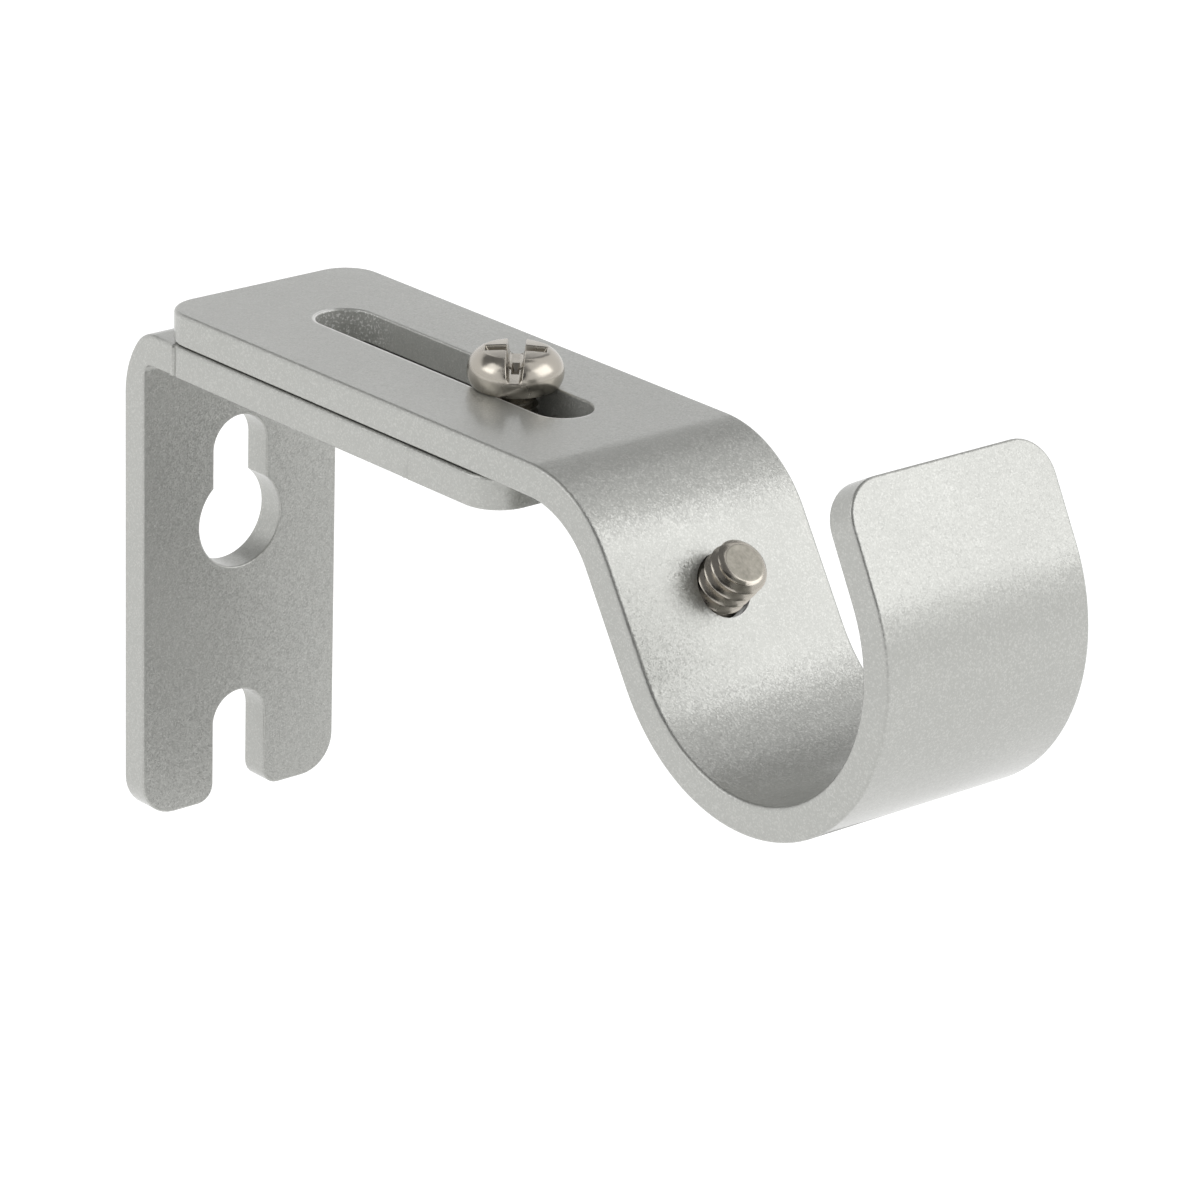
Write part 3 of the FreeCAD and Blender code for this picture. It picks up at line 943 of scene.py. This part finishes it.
class BRACKET_OT_clamp_screw(bpy.types.Operator):
    """Turn the pan head, cut its slot and cross, and thread the shank"""

    bl_idname = "bracket.clamp_screw"
    bl_label = "Clamp Screw"

    def execute(self, context):
        bars = plain(context.scene.bracket_bars)
        screws = plain(context.scene.bracket_screws)
        head = combined(self.head(screws), [self.slot(screws)] + self.wings(screws))
        shank = threaded_rod(
            screws.clamp_crest, 0.42, screws.clamp_pitch, -screws.clamp_length, 0.25,
        )
        shank = combined(shank, [self.shank_envelope(screws)], 'INTERSECT')
        bm = combined(head, [shank], 'UNION')
        past_wings = screws.cross_span / 2 + 0.1
        lips = sharp_edges(bm, lambda co: (
            co.z > screws.drive_floor - TINY and math.hypot(co.x, co.y) > past_wings
        ), 40.0)
        rounded(bm, lips, screws.drive_lip, 4)
        rims = sharp_edges(bm, lambda co: co.z > screws.cross_floor - TINY, 40.0)
        rounded(bm, rims, screws.drive_rim, 3)
        seat = bars.leg_top + bars.gap + bars.thickness + screws.head_gap
        place = Matrix.Translation((screws.clamp_x, screws.clamp_y, seat))
        turn = Matrix.Rotation(screws.drive_turn, 4, 'Z')
        bmesh.ops.transform(bm, matrix=place @ turn, verts=bm.verts[:])
        finished(
            "clamp_screw_body", bm, "clamp_screw", "clamp_screw",
            nickel_plate("Nickel plate, clamp screw"),
        )
        return {'FINISHED'}

    @staticmethod
    def head(screws):
        bm = bmesh.new()
        crown = Vector((0, 0, screws.head_height))
        shoulder = Vector((screws.head_shoulder, 0, screws.shoulder_height))
        bulge = Vector((screws.head_radius, 0, screws.head_bulge))
        fall = crown.z - shoulder.z
        crown_radius = (shoulder.x ** 2 + fall ** 2) / (2 * fall)
        side = bulge - shoulder
        side_radius = side.length_squared / (2 * side.x)
        vert = bm.verts.new(crown)
        vert = swept_arc(bm, vert, crown - Vector((0, 0, crown_radius)),
                         math.asin(shoulder.x / crown_radius), 12)
        bmesh.ops.translate(bm, verts=[vert], vec=shoulder - vert.co)
        side_turn = math.asin((shoulder.z - bulge.z) / side_radius)
        vert = swept_arc(bm, vert, bulge - Vector((side_radius, 0, 0)), side_turn, 14)
        inset = screws.head_radius - screws.head_base
        low_radius = (bulge.z ** 2 + inset ** 2) / (2 * inset)
        vert = swept_arc(bm, vert, bulge - Vector((low_radius, 0, 0)),
                         math.asin(bulge.z / low_radius), 10)
        drawn_on(bm, vert, [(0, 0, 0)])
        return turned_solid(bm, 120)

    @staticmethod
    def slot(screws):
        """Slot across the head, narrower at its round-cornered floor."""
        start, top = -2 * screws.head_radius, screws.drive_width / 2
        foot, floor = screws.drive_foot / 2, screws.drive_floor
        crown, above = screws.head_height, screws.head_height + 2
        bm = polygon([
            (start, -foot, floor), (start, foot, floor), (start, top, crown),
            (start, top, above), (start, -top, above), (start, -top, crown),
        ])
        corners = corners_at(bm, (start, -foot, floor), (start, foot, floor))
        rounded(bm, corners, foot / 2, 5, 'VERTICES')
        return extruded(bm, (-2 * start, 0, 0))

    @staticmethod
    def wings(screws):
        """Two tapered wings of the cross recess."""
        wings = []
        for turn in (0, math.pi / 2):
            bm = bmesh.new()
            bmesh.ops.create_cube(bm, size=1.0)
            tall = screws.head_height - screws.cross_floor
            reach = screws.cross_span / screws.cross_foot
            for vert in bm.verts:
                lower = vert.co.z < 0
                vert.co.x *= screws.cross_foot if lower else screws.cross_foot * reach
                vert.co.y *= screws.cross_width * (0.25 if lower else 1.0)
                vert.co.z = screws.cross_floor if lower else screws.head_height
            lid = [f for f in bm.faces if f.calc_center_median().z > screws.head_height - TINY]
            grown = bmesh.ops.extrude_face_region(bm, geom=lid)["geom"]
            moved = [item for item in grown if isinstance(item, bmesh.types.BMVert)]
            bmesh.ops.translate(bm, verts=moved, vec=(0, 0, tall))
            bmesh.ops.delete(bm, geom=lid, context='FACES_ONLY')
            bmesh.ops.rotate(bm, cent=(0, 0, 0), matrix=Matrix.Rotation(turn, 3, 'Z'),
                             verts=bm.verts[:])
            wings.append(outward(bm))
        return wings

    @staticmethod
    def shank_envelope(screws):
        bm = bmesh.new()
        low = -screws.clamp_length
        wide = screws.clamp_crest + 1
        outline = [(0, low), (screws.clamp_crest - 0.5, low), (screws.clamp_crest + 0.1, low + 0.6),
                   (wide, low + 0.7), (wide, 1.0), (0, 1.0)]
        verts = [bm.verts.new((x, 0, z)) for x, z in outline]
        for one, other in zip(verts, verts[1:]):
            bm.edges.new((one, other))
        return turned_solid(bm, 64)


class BRACKET_OT_set_screw(bpy.types.Operator):
    """Thread the set screw, slot its outer end and turn its flat point"""

    bl_idname = "bracket.set_screw"
    bl_label = "Set Screw"

    def execute(self, context):
        bars = plain(context.scene.bracket_bars)
        screws = plain(context.scene.bracket_screws)
        bm = threaded_rod(screws.set_crest, 0.55, screws.set_pitch, -1.35, screws.set_length + 1)
        bm = combined(bm, [self.envelope(screws)], 'INTERSECT')
        slot = bmesh.new()
        bmesh.ops.create_cube(slot, size=1.0)
        bmesh.ops.scale(slot, vec=(8, screws.set_slot, 2 * screws.set_slot_depth),
                        verts=slot.verts[:])
        bm = combined(bm, [slot])
        base, axis = set_screw_place(bars, screws)
        start = base - axis * (screws.set_length - screws.set_out)
        turn = Vector((0, 0, 1)).rotation_difference(axis).to_matrix().to_4x4()
        bmesh.ops.transform(bm, matrix=Matrix.Translation(start) @ turn, verts=bm.verts[:])
        finished(
            "set_screw_body", bm, "set_screw", "set_screw",
            nickel_plate("Nickel plate, set screw",
                         ((base + axis * screws.set_out) * MM, axis)),
        )
        return {'FINISHED'}

    @staticmethod
    def envelope(screws):
        bm = bmesh.new()
        end = screws.set_length
        wide = screws.set_crest + 0.5
        outline = [
            (0, 0), (screws.set_crest - 0.4, 0), (screws.set_crest + 0.05, 0.45), (wide, 0.5),
            (wide, end - 0.9), (screws.set_crest + 0.1, end - 0.72), (2.3, end - 0.45),
            (2.05, end - 0.17), (screws.set_point + 0.12, end), (screws.set_point, end),
            (0, end),
        ]
        verts = [bm.verts.new((x, 0, z)) for x, z in outline]
        for one, other in zip(verts, verts[1:]):
            bm.edges.new((one, other))
        return turned_solid(bm, 72)


# Stage

def facing(place, aim=MIDDLE):
    """The turn that makes an object at a place look at a point."""
    return (Vector(aim) - Vector(place)).to_track_quat('-Z', 'Y').to_euler()


def soft_box(name, place, size, power):
    """A soft light that faces the bracket."""
    data = bpy.data.lights.new(name, 'AREA')
    data.shape = 'RECTANGLE'
    data.size, data.size_y = size
    data.energy = power
    lamp = bpy.data.objects.new(name, data)
    lamp.location = place
    lamp.rotation_euler = facing(place)
    bpy.context.scene.collection.objects.link(lamp)
    return lamp


def seen_directly(wires):
    """1 where the camera, a reflection or a view through glass meets the surface."""
    path = wires.add('ShaderNodeLightPath')
    seen = wires.maths('ADD', path.outputs["Is Camera Ray"], path.outputs["Is Glossy Ray"])
    return wires.maths('ADD', seen, path.outputs["Is Transmission Ray"], clamp=True)


def white_world():
    """Even light, and plain white where the camera or a reflection sees past the floor."""
    world = bpy.data.worlds.new("Studio")
    world.use_nodes = True
    tree = world.node_tree
    tree.nodes.clear()
    wires = Wiring(tree)
    seen = seen_directly(wires)
    strength = wires.spread(seen, 0.0, 1.0, 0.75, 1.0)
    background = wires.add('ShaderNodeBackground', None, {
        "Color": (1.0, 1.0, 1.0, 1.0), "Strength": strength,
    })
    output = wires.add('ShaderNodeOutputWorld')
    tree.links.new(background.outputs[0], output.inputs["Surface"])
    return world


class BRACKET_OT_stage(bpy.types.Operator):
    """Lay the pale floor and set the lights and the camera"""

    bl_idname = "bracket.stage"
    bl_label = "Stage"

    def execute(self, context):
        scene = context.scene
        scene.view_settings.view_transform = 'Standard'
        scene.world = white_world()
        self.floor()
        soft_box("Side softbox", (0.505, 0.405, 0.39), (0.53, 0.44), 1.2)
        soft_box("Left softbox", (-0.20, -0.52, 0.50), (0.4, 0.5), 1.0)
        self.card("Dark card", (0.80, -0.70, 0.60), (1.2, 0.8), 0.04)
        self.card("Left ceiling", (-0.5, -0.275, 0.85), (1.2, 1.45), 0.3, (-0.5, -0.275, 0.0))
        self.card("Grey card", (-0.36, 0.49, 0.50), (0.4, 0.3), 0.42)
        self.card("Right ceiling", (0.5, -0.45, 0.85), (0.8, 1.1), 0.3, (0.5, -0.45, 0.0))
        # A small dark sheet beside the wall plate that only reflections show. It paints shade onto the
        # plate's inner face, darker towards its upper near part.
        self.card("Plate shade card", (0.058, 0.023, -0.013), (0.031, 0.047), 0.03, (0.016, -0.0135, 0.008))
        self.camera(scene)
        return {'FINISHED'}

    @staticmethod
    def floor():
        bm = bmesh.new()
        bmesh.ops.create_grid(bm, x_segments=1, y_segments=1, size=3.0)
        bmesh.ops.translate(bm, verts=bm.verts[:], vec=(0, 0, -0.06))
        ground = temporary("floor", bm)
        material, wires, shader, place = material_tree("Pale floor")
        tone = wires.noise(place, 3.0, 2.0)
        low = tuple(0.985 * part for part in bpy.context.scene.bracket_finishes.floor)
        base = wires.mixed(tone.outputs[0], (*low, 1.0),
                           (*bpy.context.scene.bracket_finishes.floor, 1.0))
        wires.tree.links.new(base, shader.inputs["Base Color"])
        shader.inputs["Roughness"].default_value = 0.9
        shader.inputs["Specular IOR Level"].default_value = 0.0
        shader.inputs["Emission Color"].default_value = (1.0, 1.0, 1.0, 1.0)
        lift = wires.maths('MULTIPLY', seen_directly(wires), 0.36)
        wires.tree.links.new(lift, shader.inputs["Emission Strength"])
        ground.data.materials.append(material)

    @staticmethod
    def card(name, place, size, grey, aim=MIDDLE):
        """A plain card that only reflections show."""
        bm = bmesh.new()
        bmesh.ops.create_grid(bm, x_segments=1, y_segments=1, size=0.5)
        bmesh.ops.scale(bm, vec=(size[0], size[1], 1.0), verts=bm.verts[:])
        turn = facing(place, aim).to_matrix().to_4x4()
        bmesh.ops.transform(bm, matrix=Matrix.Translation(place) @ turn, verts=bm.verts[:])
        board = temporary(name, bm)
        board.visible_camera = False
        board.visible_shadow = False
        board.visible_diffuse = False
        material, wires, shader, where = material_tree(name)
        weave = wires.noise(where, 40.0, 2.0)
        base = wires.mixed(weave.outputs[0], (grey, grey, grey, 1.0),
                           (0.9 * grey, 0.9 * grey, 0.9 * grey, 1.0))
        wires.tree.links.new(base, shader.inputs["Base Color"])
        shader.inputs["Roughness"].default_value = 0.9
        shader.inputs["Specular IOR Level"].default_value = 0.0
        board.data.materials.append(material)

    @staticmethod
    def camera(scene):
        data = bpy.data.cameras.new("Photo camera")
        data.lens = 175.47
        data.sensor_width = 36.0
        data.shift_x = -0.00766
        data.shift_y = -0.00515
        data.clip_start, data.clip_end = 0.01, 20.0
        camera = bpy.data.objects.new("Photo camera", data)
        right = Vector((0.6473921, 0.7616027, 0.0290651))
        up = Vector((-0.2874712, 0.2086878, 0.9347779))
        back = Vector((0.7058639, -0.6135232, 0.3540417))
        turn = Matrix((right, up, back)).transposed().to_4x4()
        camera.matrix_world = Matrix.Translation((0.3876101, -0.2913366, 0.1870661)) @ turn
        scene.collection.objects.link(camera)
        scene.camera = camera


class BRACKET_PT_sidebar(bpy.types.Panel):
    """Lists the bracket's pieces, sizes and colours"""

    bl_idname = "BRACKET_PT_sidebar"
    bl_label = "Curtain Pole Bracket"
    bl_space_type = 'VIEW_3D'
    bl_region_type = 'UI'
    bl_category = "Bracket"

    def draw(self, context):
        layout = self.layout
        for operator in OPERATORS:
            layout.operator(operator.bl_idname)
        for group in (context.scene.bracket_bars, context.scene.bracket_screws,
                      context.scene.bracket_finishes):
            box = layout.box()
            for name in group.__annotations__:
                box.prop(group, name)


GROUPS = (
    ("bracket_bars", BarSizes),
    ("bracket_screws", ScrewSizes),
    ("bracket_finishes", Finishes),
)
OPERATORS = (
    BRACKET_OT_wall_bracket,
    BRACKET_OT_pole_arm,
    BRACKET_OT_clamp_screw,
    BRACKET_OT_set_screw,
    BRACKET_OT_stage,
)


def register():
    for name, group in GROUPS:
        bpy.utils.register_class(group)
        setattr(bpy.types.Scene, name, bpy.props.PointerProperty(type=group))
    for cls in OPERATORS + (BRACKET_PT_sidebar,):
        bpy.utils.register_class(cls)


def unregister():
    for cls in reversed(OPERATORS + (BRACKET_PT_sidebar,)):
        bpy.utils.unregister_class(cls)
    for name, group in reversed(GROUPS):
        delattr(bpy.types.Scene, name)
        bpy.utils.unregister_class(group)


def main():
    """Make every piece and the stage."""
    register()
    bpy.ops.bracket.wall_bracket()
    bpy.ops.bracket.pole_arm()
    bpy.ops.bracket.clamp_screw()
    bpy.ops.bracket.set_screw()
    bpy.ops.bracket.stage()


if __name__ == "__main__":
    main()
